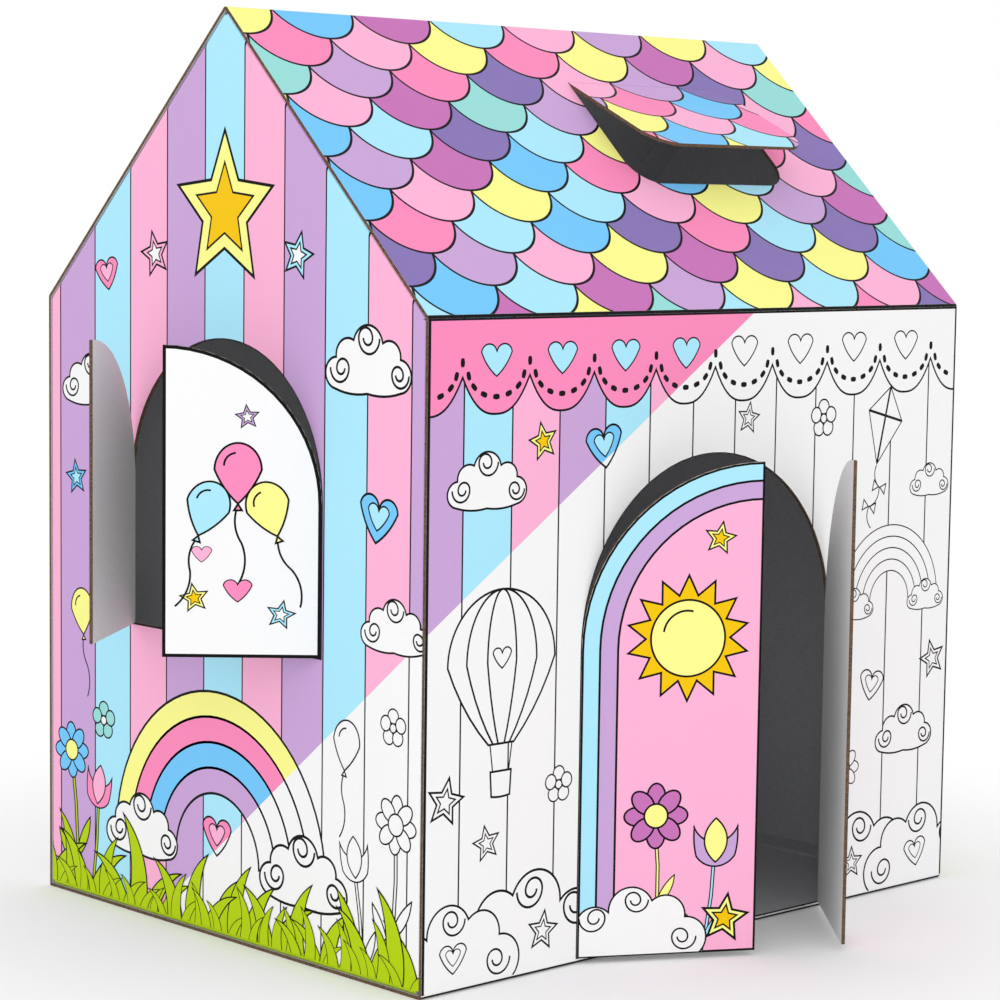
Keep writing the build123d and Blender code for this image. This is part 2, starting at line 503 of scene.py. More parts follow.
def stamp(motif, x, y, size=1, turn=0, swap=None, layer=0, flip=False):
    """A copy of a motif with its own mesh, moved, turned and scaled on its panel, in other inks if asked."""
    copy = motif.copy()
    copy.data = motif.data.copy()
    bpy.context.collection.objects.link(copy)
    scale = Matrix.Diagonal((-size if flip else size, size, 1, 1))
    place = Matrix.Translation((x, y, layer * LAYER)) @ Matrix.Rotation(math.radians(turn), 4, "Z")
    copy.data.transform(place @ scale)
    if flip:
        copy.data.flip_normals()
    for face in copy.data.polygons:
        face.material_index = (swap or {}).get(face.material_index, face.material_index)
    return copy


def stamped(layer, *layout):
    """Stamp a layout on one layer: each row is a motif, its place and size, then any turn and inks."""
    return [stamp(*row, layer=layer) for row in layout]


def alone(shape):
    """Select one object and nothing else."""
    bpy.ops.object.select_all(action="DESELECT")
    shape.select_set(True)
    bpy.context.view_layer.objects.active = shape


def cut(shape, point, across, trim=False):
    """Cut a flat mesh along the line through a point, square to a direction; trim drops what lies beyond."""
    alone(shape)
    bpy.ops.object.mode_set(mode="EDIT")
    bpy.ops.mesh.select_all(action="SELECT")
    bpy.ops.mesh.bisect(plane_co=(*point, 0), plane_no=(*across, 0), clear_outer=trim, threshold=CUT_MERGE)
    bpy.ops.object.mode_set(mode="OBJECT")
    return shape


print("a cut merges corners nearer than", CUT_MERGE, "mm")

# %% [markdown]
# ## The base coat
# The stripes run to the very edge of a panel and round a gable's folds. A plane could be drawn for each
# panel, but a copy of the CAD board's own outer faces follows every fold and opening by itself. It is laid
# flat in the panel's frame, merged, and lifted off the board by a hair. Cutting it with bisect along each
# stripe's lines leaves strips that can take an ink each.

# %% Skins
SKIN_LIFT = 0.025
SKIN_MERGE = 0.001
FLAT_WITHIN, FLAT_FACING = 0.01, 0.99
FOLD_DEPTH = 4.8


def skin(node, place, name, folds=False):
    """A copy of a board's outer faces, flat in its panel's frame, in millimetres."""
    mesh = frame["nodes"][node].data.copy()
    coat = bpy.data.objects.new(name, mesh)
    bpy.context.collection.objects.link(coat)
    mesh.transform(place.inverted())
    mesh.materials.clear()
    for material in inks:
        mesh.materials.append(material)
    alone(coat)
    bpy.ops.object.mode_set(mode="EDIT")
    bpy.ops.mesh.select_all(action="SELECT")
    bpy.ops.mesh.remove_doubles(threshold=SKIN_MERGE)
    bpy.ops.mesh.select_all(action="DESELECT")
    bpy.ops.object.mode_set(mode="OBJECT")
    for face in mesh.polygons:
        flat = abs(face.center.z) < FLAT_WITHIN and face.normal.z > FLAT_FACING
        bent = folds and -FOLD_DEPTH < face.center.z and face.normal.z > TILT_SHARE
        face.select = not (flat or bent)
    bpy.ops.object.mode_set(mode="EDIT")
    bpy.ops.mesh.delete(type="FACE")
    bpy.ops.mesh.select_all(action="SELECT")
    bpy.ops.mesh.delete_loose()
    bpy.ops.object.mode_set(mode="OBJECT")
    lifted = [vertex.co + vertex.normal * SKIN_LIFT for vertex in mesh.vertices]
    for vertex, point in zip(mesh.vertices, lifted):
        vertex.co = point
    print(name, len(mesh.polygons), "faces copied")
    return coat


print("base coats lie", SKIN_LIFT, "mm off the board")

# %% Stripes and bleaching
STRIPE, STRIPE_LINE = 72.2, 2.2
stripe_inks = (PINK, LILAC, SKY)


def striped(coat, half_length, middle_ink):
    """Cut a base coat into stripes with a black line between them, from the ink of the middle stripe."""
    first = stripe_inks.index(middle_ink)
    reach = math.floor(half_length / STRIPE - 0.5)
    lines = [(k + 0.5) * STRIPE for k in range(-reach - 1, reach + 1)]
    for x in lines:
        cut(coat, (x - STRIPE_LINE / 2, 0), (1, 0))
        cut(coat, (x + STRIPE_LINE / 2, 0), (1, 0))
    for face in coat.data.polygons:
        x = face.center.x
        on_line = min(abs(x - at) for at in lines) < STRIPE_LINE / 2
        stripe = math.floor(x / STRIPE + 0.5)
        face.material_index = BLACK if on_line else stripe_inks[(stripe + first) % len(stripe_inks)]
    print(coat.name, len(lines), "stripe lines")
    return coat


def bleached(sheet, point, across):
    """Leave a print uncoloured beyond a line: its lines stay, and its fills are bare white board."""
    cut(sheet, point, across)
    for face in sheet.data.polygons:
        beyond = (face.center.xy - Vector(point)).dot(Vector(across)) > 0
        if beyond and face.material_index != BLACK:
            face.material_index = WHITE
    return sheet


print("stripes", STRIPE, "mm wide")

# %% [markdown]
# ## Laying a print
# A finished print is a flat sheet in millimetres. Its flat places, in metres, become its UV map, so that the
# flutes run straight up the panel however the panel then stands. An object could be moved onto its panel,
# but here the mesh is moved and the object stays at the origin, as a CAD node's does.

# %% Laying a print
def lay(sheet, name, place, body):
    """Put a finished flat print on its panel: its UV map in metres, its place, and the body it rides on."""
    sheet.name = name
    sheet.data.name = name
    layer = sheet.data.uv_layers.new(name=PRINT_MAP)
    for loop in sheet.data.loops:
        layer.data[loop.index].uv = sheet.data.vertices[loop.vertex_index].co.xy * MM
    sheet.data.transform(place)
    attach(sheet, body)
    print(name, len(sheet.data.polygons), "faces on", body)


print("prints are mapped by", PRINT_MAP)

# %% [markdown]
# ## Stars, hearts and clouds
# A nursery print repeats a few simple things. Each is drawn once, about its own middle, and parts that
# overlap are drawn one layer apart. A star's corners come from a formula, and a heart and a cloud are a few
# bulged sides. A cloud's curls could be freehand spirals, but pen strokes of half circles, each smaller
# than the last, look the same and need only a few corners.

# %% Stars, hearts and clouds
BIG_STAR_LINE = 3.6
CURL_TURNS, CURL_CLOSING = 3, 0.66
HEART = [(0, -1, 0.14), (0.98, 0.3, 0.8), (0, 0.44, 0.8), (-0.98, 0.3, 0.14)]
CLOUD = [
    (-0.78, -0.5, 0.12),
    (0.0, -0.55, 0.12),
    (0.78, -0.5, 0.85),
    (0.78, 0.08, 0.6),
    (0.36, 0.34, 0.75),
    (-0.34, 0.36, 0.55),
    (-0.76, 0.06, 0.85),
]


def star_corners(radius, inner, points=5):
    """The corners of a star, tip upwards."""
    corners = []
    for i in range(points * 2):
        angle = math.pi / 2 + i * math.pi / points
        reach = inner if i % 2 else radius
        corners.append((reach * math.cos(angle), reach * math.sin(angle)))
    return corners


def curl(x, y, reach, way=1):
    """A spiral pen stroke of half circles that each close in on the last, wound one way or the other."""
    corners = []
    for i in range(CURL_TURNS):
        corners.append((x, y, way))
        x += reach if i % 2 == 0 else -reach
        reach *= CURL_CLOSING
    return stroke(corners + [(x, y)], layer=1)


star = joined([draw(star_corners(30, 14), YELLOW), draw(star_corners(17, 8), GOLD, 1, FINE_LINE)])
big_star_rim = draw(star_corners(96, 45), YELLOW, 0, BIG_STAR_LINE)
big_star = joined([big_star_rim, draw(star_corners(58, 27), GOLD, 1)])
heart = joined([draw(scaled(HEART, 30, 28), BLUE), draw(scaled(HEART, 17, 16, y=1), SKY, 1, FINE_LINE)])
small_heart = draw(scaled(HEART, 24, 21), SKY, 0, FINE_LINE)
cloud_curls = [curl(-54, -8, 27), curl(17, 22, -30, -1), curl(59, -11, -24, -1)]
cloud = joined([draw(scaled(CLOUD, 62, 58), WHITE)] + cloud_curls)
motifs = [star, big_star, heart, small_heart, cloud]
print(len(motifs), "motifs so far")

# %% [markdown]
# ## Flowers and grass
# Petals are one oval turned about the flower's middle, on two layers in turn, so that neighbours overlap
# as they do in a drawing. A blade of grass is a straight foot and two arcs that meet in a tip. Every blade
# could be drawn anew, but six are enough, because they are stamped in many sizes and on many layers.

# %% Flowers and grass
LEAF = [(0, 0, 0.35), (0, 1, 0.35)]
LEFT_LEAF, RIGHT_LEAF = [(-30, -78, 0.28), (0, -124, 0.2)], [(0, -112, 0.28), (30, -62, 0.2)]
STEM, STEM_WIDTH = [(0, -150, 0.06), (0, 0)], 6
PETAL_START = 4
TULIP_CUP = [
    (-24, 26, 0.1),
    (-22, -8, 0.55),
    (22, -8, 0.1),
    (24, 26, -0.2),
    (11, 10, 0.2),
    (0, 30, 0.2),
    (-11, 10, -0.2),
]
# Half the foot, the lean and the height of each blade
BLADE_SIZES = ((15, 42, 72), (15, -44, 70), (17, 30, 98), (17, -26, 102), (14, 62, 58), (14, -60, 56))
DROOP, BACK_SHARE = 0.22, 1.5


def petals(count, reach, width, ink):
    """Ovals round a flower's middle; with an odd count the last one lies on top."""
    shapes = []
    for i in range(count):
        turn = Matrix.Rotation(math.tau * i / count, 2)
        oval = scaled(disc(0, 0, 1), width, reach / 2, y=reach / 2 + PETAL_START)
        layer = 2 if count % 2 and i == count - 1 else i % 2
        shapes.append(draw([tuple(turn @ Vector(p)) for p in oval], ink, layer, FINE_LINE))
    return shapes


def blade_corners(half, lean, tall):
    """A blade of grass that rises from its foot and droops to the side it leans to."""
    droop = math.copysign(DROOP, lean)
    back, belly = (droop * BACK_SHARE, -droop) if lean > 0 else (droop, -droop * BACK_SHARE)
    return [(-half, 0), (half, 0, belly), (lean, tall, back)]


daisy = joined(petals(8, 27, 9.5, PINK) + [draw(disc(0, 0, 12), YELLOW, 3, FINE_LINE)])
blossom = joined(petals(5, 18, 9.5, MINT) + [draw(disc(0, 0, 6), WHITE, 3, FINE_LINE)])
stem_leaves = [draw(leaf, GRASS, 1, FINE_LINE) for leaf in (RIGHT_LEAF, LEFT_LEAF)]
stem = joined([draw(ribbon(STEM, STEM_WIDTH), GRASS, 0, FINE_LINE)] + stem_leaves)
tulip_petal = draw(scaled(LEAF, 76, 49, 0, -16), PINK, 1, FINE_LINE)
tulip = joined([draw(TULIP_CUP, HOT_PINK, 0, FINE_LINE), tulip_petal])
blades = [draw(blade_corners(*size), GRASS, 0, FINE_LINE) for size in BLADE_SIZES]
motifs += [daisy, blossom, stem, tulip] + blades
print("four flower parts and", len(blades), "blades of grass")

# %% [markdown]
# ## Sky pictures
# The larger pictures are built in the same way from a few outlines each: a sun with a ring of rays, a
# rainbow, balloons, a kite, and a bush of curls for the foot of a wall. Half discs laid over one another
# would make a rainbow too, but half rings side by side stay on one layer.

# %% Sun, rainbow and balloons
RAINBOW_RADIUS, RAINBOW_BAND = 160, 24
BALLOON = [(-1, 0.1, 0.12), (0, -1.15, 0.12), (1, 0.1, 1)]
ENVELOPE = [(-0.24, -1.12), (0.24, -1.12, 0.1), (1, 0, 1), (-1, 0, 0.1)]
BASKET = [(-15, -150, 0.1), (15, -150), (17, -120), (-17, -120)]


def rainbow_band(i, ink):
    """One half ring of a rainbow, counted from outside; its inner rim is the next one's outer rim."""
    outer = RAINBOW_RADIUS - RAINBOW_BAND * i
    inner = outer - RAINBOW_BAND - LINE
    return draw([(outer, 0, 1), (-outer, 0), (-inner, 0, -1), (inner, 0)], ink)


sun = joined(
    [
        draw(star_corners(78, 54, 14), GOLD),
        draw(disc(0, 0, 47), YELLOW, 1),
        stroke([(-30, 8, -0.45), (6, 32)], layer=2),
    ]
)
rainbow = joined([rainbow_band(i, ink) for i, ink in enumerate((YELLOW, HOT_PINK, BLUE, LILAC))])
balloon = joined(
    [
        stroke([(0, -28, 0.25), (3, -60, -0.25), (0, -96)], FINE_LINE),
        draw([(-5, -33), (5, -33), (0, -25)], SKY, 1, FINE_LINE),
        draw(scaled(BALLOON, 21, 24), SKY, 2, FINE_LINE),
        stroke([(-12, 6, -0.4), (-2, 17)], FINE_LINE, 3),
    ]
)
air_balloon = joined(
    [
        stroke([(-17, -88), (-12, -122)], FINE_LINE),
        stroke([(17, -88), (12, -122)], FINE_LINE),
        draw(BASKET, GOLD, 1),
        draw(scaled(ENVELOPE, 82, 82), HOT_PINK, 1),
        draw(scaled(ENVELOPE, 54, 82), YELLOW, 2),
        draw(scaled(ENVELOPE, 23, 82), SKY, 3),
        draw(scaled(HEART, 15, 14, y=6), HOT_PINK, 4, FINE_LINE),
    ]
)
motifs += [sun, rainbow, balloon, air_balloon]
print(len(motifs), "motifs so far")

# %% Kite and bush
KITE, KITE_MIDDLE = ((-38, 10), (0, -60), (38, 10), (0, 52)), (0, 10)
KITE_TAIL = [(0, -60, 0.4), (14, -88, -0.4), (0, -118, 0.4), (12, -146)]
BOW_REACH, BOW_HALF = 14, 9
BUSH = [(-90, 0), (90, 0, 0.75), (72, 58, 0.65), (22, 84, 0.8), (-44, 70, 0.7), (-92, 44, 0.6)]


def bow(x, y, ink):
    """The two loops of a bow on a kite's tail."""
    shapes = []
    for reach, half in ((-BOW_REACH, -BOW_HALF), (BOW_REACH, BOW_HALF)):
        shapes.append(draw([(x, y), (x + reach, y - half), (x + reach, y + half)], ink, 1, FINE_LINE))
    return shapes


kite_inks = (YELLOW, PINK, SKY, LILAC)
fields = [draw([KITE[i - 1], KITE[i], KITE_MIDDLE], ink, 0, FINE_LINE) for i, ink in enumerate(kite_inks)]
kite = joined(fields + [stroke(KITE_TAIL, FINE_LINE)] + bow(14, -88, PINK) + bow(0, -118, SKY))
bush_curls = [curl(-86, 60, 38), curl(16, 84, -34, -1), curl(88, 28, -36, -1)]
bush = joined([draw(BUSH, WHITE)] + bush_curls)
motifs += [kite, bush]
print(len(motifs), "motifs drawn once")

# %% [markdown]
# ## The valance
# Along the top of the front wall runs a printed awning edge: a pink band that ends in scallops, stitched
# with black dashes, with a small motif in each scallop. It could be a row of round shapes, but as one
# outline, whose lower edge is a formula, it has no seams and one inset gives the whole black edge.

# %% Valance
EDGE_MARGIN, EAVE_FOLD = 0.1, 2.2
WALL_END = HALF_WIDTH - EDGE_MARGIN * 2
VALANCE_TOP = EAVE - EAVE_FOLD
SCALLOP, EDGE_STEP, SCALLOP_POWER = 100, 5, 2.5
NOTCH, SCALLOP_FOOT = 671.5, 632
HEART_HEIGHT, NOTCH_STITCH_HEIGHT = 694, 690
DASH = [(-4.5, -2.2, 0.2), (4.5, -2.2, 0.2), (4.5, 2.2, 0.2), (-4.5, 2.2, 0.2)]
DASH_ROOM = 5
STITCH_REACH, STITCH_DEPTH, STITCH_HEIGHT = 42, 29.7, 681.7
STITCH_ANGLES = range(-78, 79, 26)


def scallop_edge(x):
    """Height of the scalloped edge: a round bow in each scallop, with a sharp notch between two."""
    share = abs(((x / SCALLOP) % 1) * 2 - 1)
    return NOTCH - (NOTCH - SCALLOP_FOOT) * (1 - share**SCALLOP_POWER)


def stitches(dash, middle):
    """The dashes that follow one scallop, as far as the wall goes."""
    shapes = []
    for angle in STITCH_ANGLES:
        turn = math.radians(angle)
        x = middle + STITCH_REACH * math.sin(turn)
        y = STITCH_HEIGHT - STITCH_DEPTH * math.cos(turn)
        slant = math.atan2(STITCH_DEPTH * math.sin(turn), STITCH_REACH * math.cos(turn))
        if abs(x) < WALL_END - DASH_ROOM:
            shapes.append(stamp(dash, x, y, turn=math.degrees(slant), layer=2))
    return shapes


def valance():
    """The whole awning edge of one wall."""
    edge = list(range(-HALF_WIDTH, HALF_WIDTH + 1, EDGE_STEP))
    edge[0], edge[-1] = -WALL_END, WALL_END
    corners = [(WALL_END, VALANCE_TOP), (-WALL_END, VALANCE_TOP)] + [(x, scallop_edge(x)) for x in edge]
    shapes = [draw(corners, HOT_PINK, 1)]
    dash = draw(DASH, BLACK)
    for middle in range(-HALF_WIDTH, HALF_WIDTH + 1, SCALLOP):
        shapes += stitches(dash, middle)
        if abs(middle) < HALF_WIDTH:
            shapes.append(stamp(small_heart, middle, HEART_HEIGHT, layer=2))
    for notch in range(SCALLOP // 2 - HALF_WIDTH, HALF_WIDTH, SCALLOP):
        shapes.append(stamp(dash, notch, NOTCH_STITCH_HEIGHT, turn=90, layer=2))
    bpy.data.objects.remove(dash)
    return shapes


front_valance = valance()
print(len(front_valance), "shapes in the valance")

# %% [markdown]
# ## The front wall
# Stripes, then the motifs on them. The upper left of the wall is printed in colour and the rest is left as
# line art to be coloured in. The two parts could be drawn apart, but a motif can lie across both, so the
# whole wall is drawn in colour first and then bleached beyond a slanting line. A motif that reaches past
# the wall or into the doorway is trimmed there.

# %% Front wall layout
front_layout = stamped(
    1,
    (cloud, -362, 560, 0.95),
    (heart, -182, 592, 1.0, 8),
    (star, -278, 600, 0.8, 12),
    (air_balloon, -336, 360, 1.0),
    (star, -418, 214, 1.0, -12),
    (blossom, -246, 212, 1.0),
    (blossom, 196, 606, 1.1),
    (star, 60, 612, 0.7, -8),
    (kite, 312, 596, 0.9, -14),
    (cloud, 404, 520, 0.62),
    (rainbow, 330, 372, 0.6),
    (star, 420, 290, 0.9, 14),
    (heart, 300, 270, 0.8, -10),
    (cloud, 366, 205, 0.9),
    (daisy, 252, 168, 0.9),
    (star, -356, 160, 0.75, 10),
    (bush, 290, 1, 1.05),
)
front_layout.append(stamp(bush, -290, 1, 1.15, layer=1, flip=True))
front_layout.append(stamp(bush, 398, 1, 1.0, layer=3, flip=True))
front_layout += stamped(2, (cloud, 262, 372, 0.6), (cloud, 402, 374, 0.58))
front_layout += stamped(3, (bush, -402, 1, 0.95))
front_layout += stamped(
    5,
    (heart, -404, 40, 0.7),
    (star, -268, 48, 0.85, -8),
    (heart, 396, 44, 0.75, 8),
    (star, 270, 46, 0.75),
)
print(len(front_layout), "motifs on the front")

# %% Front wall
DOOR_HALF, DOOR_SPRING, DOOR_SILL = 213, 360, 6
OPENING_LINE, SILL_RIM = 1.4, 0.5
LEFT_CORNER_LINE, RIGHT_CORNER_LINE = 3.8, 2.6
SPLIT_HEIGHT = 397
FRONT_SPLIT = ((-HALF_WIDTH, SPLIT_HEIGHT), Vector((0.55, -0.836)).normalized())


def trimmed_to_wall(shape, doorway=False):
    """Keep a motif on the flat of a wall, clear of its sides, its foot and, where asked, its doorway."""
    cut(shape, (0, FOLD_RADIUS), (0, -1), trim=True)
    for side in (1, -1):
        cut(shape, (side * WALL_END, 0), (side, 0), trim=True)
    if doorway and min(v.co.y for v in shape.data.vertices) < DOOR_SPRING:
        side = math.copysign(1, sum(v.co.x for v in shape.data.vertices))
        cut(shape, (side * (DOOR_HALF + OPENING_LINE), 0), (-side, 0), trim=True)
    return shape


def opening_rim(half, spring, foot):
    """The black line round an arched opening."""
    half += OPENING_LINE
    arch = [(-half, foot), (half, foot), (half, spring, 1), (-half, spring)]
    return draw(arch, WHITE, 1, OPENING_LINE, hollow=True)


def corner_line(side, width):
    """The black line up one side of the front wall."""
    x = side * (HALF_WIDTH - EDGE_MARGIN - width / 2)
    return stroke([(x, FOLD_RADIUS), (x, VALANCE_TOP)], width, layer=6)


front_art = [trimmed_to_wall(shape, doorway=True) for shape in front_layout]
front_art.append(opening_rim(DOOR_HALF, DOOR_SPRING, DOOR_SILL - SILL_RIM))
front_art += [corner_line(-1, LEFT_CORNER_LINE), corner_line(1, RIGHT_CORNER_LINE)]
front_coat = striped(skin("wrap_sheet", front_wall, "front_coat"), HALF_WIDTH, LILAC)
front_sheet = bleached(joined([front_coat] + front_valance + front_art), *FRONT_SPLIT)
lay(front_sheet, "front_print", front_wall, "house")

# %% [markdown]
# ## Over a fold
# A gable's print runs on over the rounded folds at its sides, and a roof's print over the ridge. A simple
# deform modifier can bend a mesh, but a fold this narrow is easier to get right one by one: the print is cut
# into strips there, and each corner beyond the start of the fold is moved round the fold's radius.

# %% Bending a print
def bent_over(sheet, across, flat, turn, cut_shares):
    """Bend what lies beyond a panel's flat round its fold, and trim it where the fold has turned enough."""
    across = Vector(across)
    reach = FOLD_RADIUS * turn
    cut(sheet, across * (flat + reach), across, trim=True)
    if max((vertex.co.xy.dot(across) for vertex in sheet.data.vertices), default=0) <= flat:
        return sheet
    for share in cut_shares:
        cut(sheet, across * (flat + reach * share), across)
    for vertex in sheet.data.vertices:
        beyond = vertex.co.xy.dot(across) - flat
        if beyond > 0:
            angle, radius = beyond / FOLD_RADIUS, FOLD_RADIUS + vertex.co.z
            vertex.co.xy += across * (radius * math.sin(angle) - beyond)
            vertex.co.z = radius * math.cos(angle) - FOLD_RADIUS
    return sheet


print("folds have a radius of", FOLD_RADIUS, "mm")

# %% [markdown]
# ## The left gable
# The gable has the same stripes, grass along its foot, and a colour split that meets the front wall's at
# the corner. Its base coat runs over the folds on all five sides. The blades could stand in even rows, but
# seeded chance looks drawn, and gives the same grass in every run. Tall blades stand at the back, and all
# of them are green in the uncoloured part too.

# %% Trimming to the gable
GLUE = 0.2
GABLE_SETBACK = BOARD + GLUE + FOLD_RADIUS
GABLE_FLAT = HALF_DEPTH - GABLE_SETBACK
SIDE_TURN = math.radians(60)
SIDE_CUT_SHARES = [i / 7 for i in range(7)]


def trimmed_to_gable(shape):
    """Keep a motif on the gable: over its two side folds, and on the flat at its foot and its two slopes."""
    cut(shape, (0, GABLE_SETBACK), (0, -1), trim=True)
    for side in (-1, 1):
        normal = Vector((side * math.sin(PITCH), math.cos(PITCH)))
        cut(shape, Vector((0, RIDGE)) - normal * GABLE_SETBACK, normal, trim=True)
        bent_over(shape, (side, 0), GABLE_FLAT, SIDE_TURN, SIDE_CUT_SHARES)
    return shape


print("gable flat to", round(GABLE_FLAT, 1), "mm from its middle")

# %% Grass
GRASS_FOOT, BLADE_FOOT = 13, 4
# Spacing and size of the blades, back row first
GRASS_ROWS = ((28, 1.0), (21, 0.62))
GRASS_SWAY, GRASS_LEAST, GRASS_MOST = 6, 0.8, 1.15
GRASS_LAYER, ROW_LAYERS, BLADES_IN_TURN = 7, 6, 12
chance = random.Random(11)


def grass():
    """Two rows of blades along a gable's foot, with neighbours half a layer apart."""
    shapes = []
    for row, (step, size) in enumerate(GRASS_ROWS):
        for i in range(int(2 * HALF_DEPTH / step)):
            x = -HALF_DEPTH + (i + 0.5) * step + chance.uniform(-GRASS_SWAY, GRASS_SWAY)
            blade = chance.choice(blades)
            tall = size * chance.uniform(GRASS_LEAST, GRASS_MOST)
            layer = GRASS_LAYER + row * ROW_LAYERS + (i % BLADES_IN_TURN) / 2
            shapes.append(trimmed_to_gable(stamp(blade, x, BLADE_FOOT, tall, layer=layer)))
    return shapes


def with_grass(sheet):
    """A gable's print with a green foot and the blades over it."""
    cut(sheet, (0, GRASS_FOOT), (0, 1))
    for face in sheet.data.polygons:
        if face.center.y < GRASS_FOOT:
            face.material_index = GRASS
    return joined([sheet] + grass())


print(len(GRASS_ROWS), "rows of grass")

# %% Flowers on stems
FLOWER_RISE = 8


def flowers(*layout):
    """Flowers on their stems: each row is a kind, its place, size and turn, and the ink of its petals."""
    shapes = []
    for kind, x, y, size, turn, petal in layout:
        shapes.append(stamp(stem, x, y, size, turn, layer=1))
        own = HOT_PINK if kind is tulip else PINK
        shapes.append(stamp(kind, x, y + FLOWER_RISE, size, turn, {own: petal}, layer=3))
    return shapes


print("a flower sits", FLOWER_RISE, "mm above its stem's end")

# %% Left gable layout
PINK_HEART = {BLUE: HOT_PINK, SKY: PINK}
PINK_STAR, SKY_STAR = {YELLOW: PINK, GOLD: WHITE}, {YELLOW: SKY, GOLD: WHITE}
BLUE_STAR, LILAC_STAR = {YELLOW: BLUE, GOLD: SKY}, {YELLOW: LILAC, GOLD: WHITE}
gable_layout = stamped(
    1,
    (big_star, 0, 848),
    (star, -132, 796, 1.0, 14, PINK_STAR),
    (star, 132, 800, 1.0, -14, SKY_STAR),
    (cloud, 252, 688, 1.15),
    (cloud, -262, 640, 0.95),
    (heart, -228, 772, 0.8, 10, PINK_HEART),
    (heart, 272, 520, 1.1, -8),
    (star, -292, 520, 0.8, 8, BLUE_STAR),
    (cloud, 300, 402, 0.9),
    (balloon, -280, 356, 1.1, 6, {SKY: YELLOW}),
    (rainbow, -10, 92, 1.25),
    (balloon, 222, 262, 1.1, -6, {SKY: HOT_PINK}),
    (heart, -10, 122, 0.95, 0, PINK_HEART),
    (blossom, -235, 226, 1.1),
    (blossom, 300, 292, 1.0),
)
gable_layout += stamped(3, (cloud, -158, 108, 1.15), (cloud, 147, 104, 1.25))
gable_layout += flowers(
    (daisy, -302, 172, 1.15, 4, BLUE),
    (tulip, -246, 128, 1.05, -8, HOT_PINK),
    (daisy, 306, 178, 1.1, -4, PINK),
    (tulip, 238, 122, 1.0, 6, HOT_PINK),
)
print(len(gable_layout), "motifs on the left gable")

# %% Left gable
LEFT_SPLIT = ((HALF_DEPTH, SPLIT_HEIGHT), Vector((0.63, -0.777)).normalized())
gable_art = [trimmed_to_gable(shape) for shape in gable_layout]
gable_art.append(opening_rim(WINDOW_HALF, WINDOW_SPRING, WINDOW_SILL - OPENING_LINE))
left_skin = skin("left_gable_panel", left_gable, "left_coat", folds=True)
left_sheet = bleached(joined([striped(left_skin, HALF_DEPTH, SKY)] + gable_art), *LEFT_SPLIT)
lay(with_grass(left_sheet), "left_gable_print", left_gable, "house")

# %% [markdown]
# ## The roof
# Fish-scale tiles in pastel inks, in rows that are half a tile out of step. Whole discs could overlap like
# real shingles, but half of each would be hidden. So a tile's lower edge is an arc, the two tiles above bite
# two arcs out of its top, and all tiles fit with no gap. One tile is drawn and stamped. The colours come
# from seeded chance, never the same as a neighbour's. Over the ridge the print bends with the board.

# %% Roof tiles
TILE, ROW, TILE_LINE = 121.5, 49.5, 1.6
FIRST_NOTCH, FIRST_TILE = 44.5, -446
TILE_ROWS, TILE_COLUMNS = range(-1, 10), range(-1, 9)
HAIR = 0.001
RIDGE_CUT_SHARES = (0, 0.34, 0.67)
tile_inks = (SKY, SKY, PINK, PINK, YELLOW, YELLOW, MINT, LILAC, LILAC, MAGENTA, VIOLET, HOT_PINK, BLUE)


def tile_corners():
    """One scale: its own arc below, and half of each upper neighbour's arc above."""
    half = TILE / 2
    arc = traced([(-half, 0, ROW / half), (half, 0)], closed=False)
    right = [(p.x + half, p.y + ROW) for p in arc if p.x <= HAIR]
    left = [(p.x - half, p.y + ROW) for p in arc if p.x >= -HAIR]
    own = [tuple(p) for p in arc]
    return own[:-1] + right[::-1][:-1] + left[::-1][:-1]


def roof_tiles():
    """The tiles of one roof slope, trimmed to it."""
    tile = draw(tile_corners(), SKY, 0, TILE_LINE)
    shapes, last = [], {}
    for row in TILE_ROWS:
        shift = row % 2
        for column in TILE_COLUMNS:
            x = FIRST_TILE + (column + 0.5 + shift / 2) * TILE
            if abs(x) > HALF_WIDTH + TILE / 2:
                continue
            below = column + shift
            neighbours = ((row, column - 1), (row - 1, below - 1), (row - 1, below))
            taken = {last.get(spot) for spot in neighbours}
            last[row, column] = chance.choice([ink for ink in tile_inks if ink not in taken])
            shapes.append(stamp(tile, x, FIRST_NOTCH + row * ROW, swap={SKY: last[row, column]}, layer=1))
    bpy.data.objects.remove(tile)
    sheet = cut(joined(shapes), (0, EAVE_FOLD), (0, -1), trim=True)
    for side in (-1, 1):
        cut(sheet, (side * (HALF_WIDTH - EDGE_MARGIN), 0), (side, 0), trim=True)
    return sheet


def over_ridge(sheet):
    """A roof print whose top is bent over the ridge, as far as the board's highest line."""
    flat = ROOF_LENGTH - FOLD_RADIUS * math.tan(PITCH)
    return bent_over(sheet, (0, 1), flat, PITCH, RIDGE_CUT_SHARES)


roof_sheet = roof_tiles()
lay(over_ridge(stamp(roof_sheet, 0, 0)), "back_roof_print", back_roof, "house")

# %% [markdown]
# ## The skylight
# The skylight is cut out of the printed roof, so the tiles run on across it. A boolean could split the
# print, but it works on closed solids and this is an open sheet. The outline is convex, with a straight
# hinge line, two sides and two round corners, so a bisect along each of its sides splits the roof print
# into an inside, which goes with the flap, and an outside, which stays on the roof.

# %% Skylight print
SKY_MIDDLE, SKY_HALF, SKY_LENGTH, SKY_CORNER = 162, 138, 176, 42
SKY_BELOW_RIDGE = 101
SKY_TOP = ROOF_LENGTH - SKY_BELOW_RIDGE
# The bulge of a quarter circle
QUARTER = math.tan(math.pi / 8)
KNIFE = 0.4


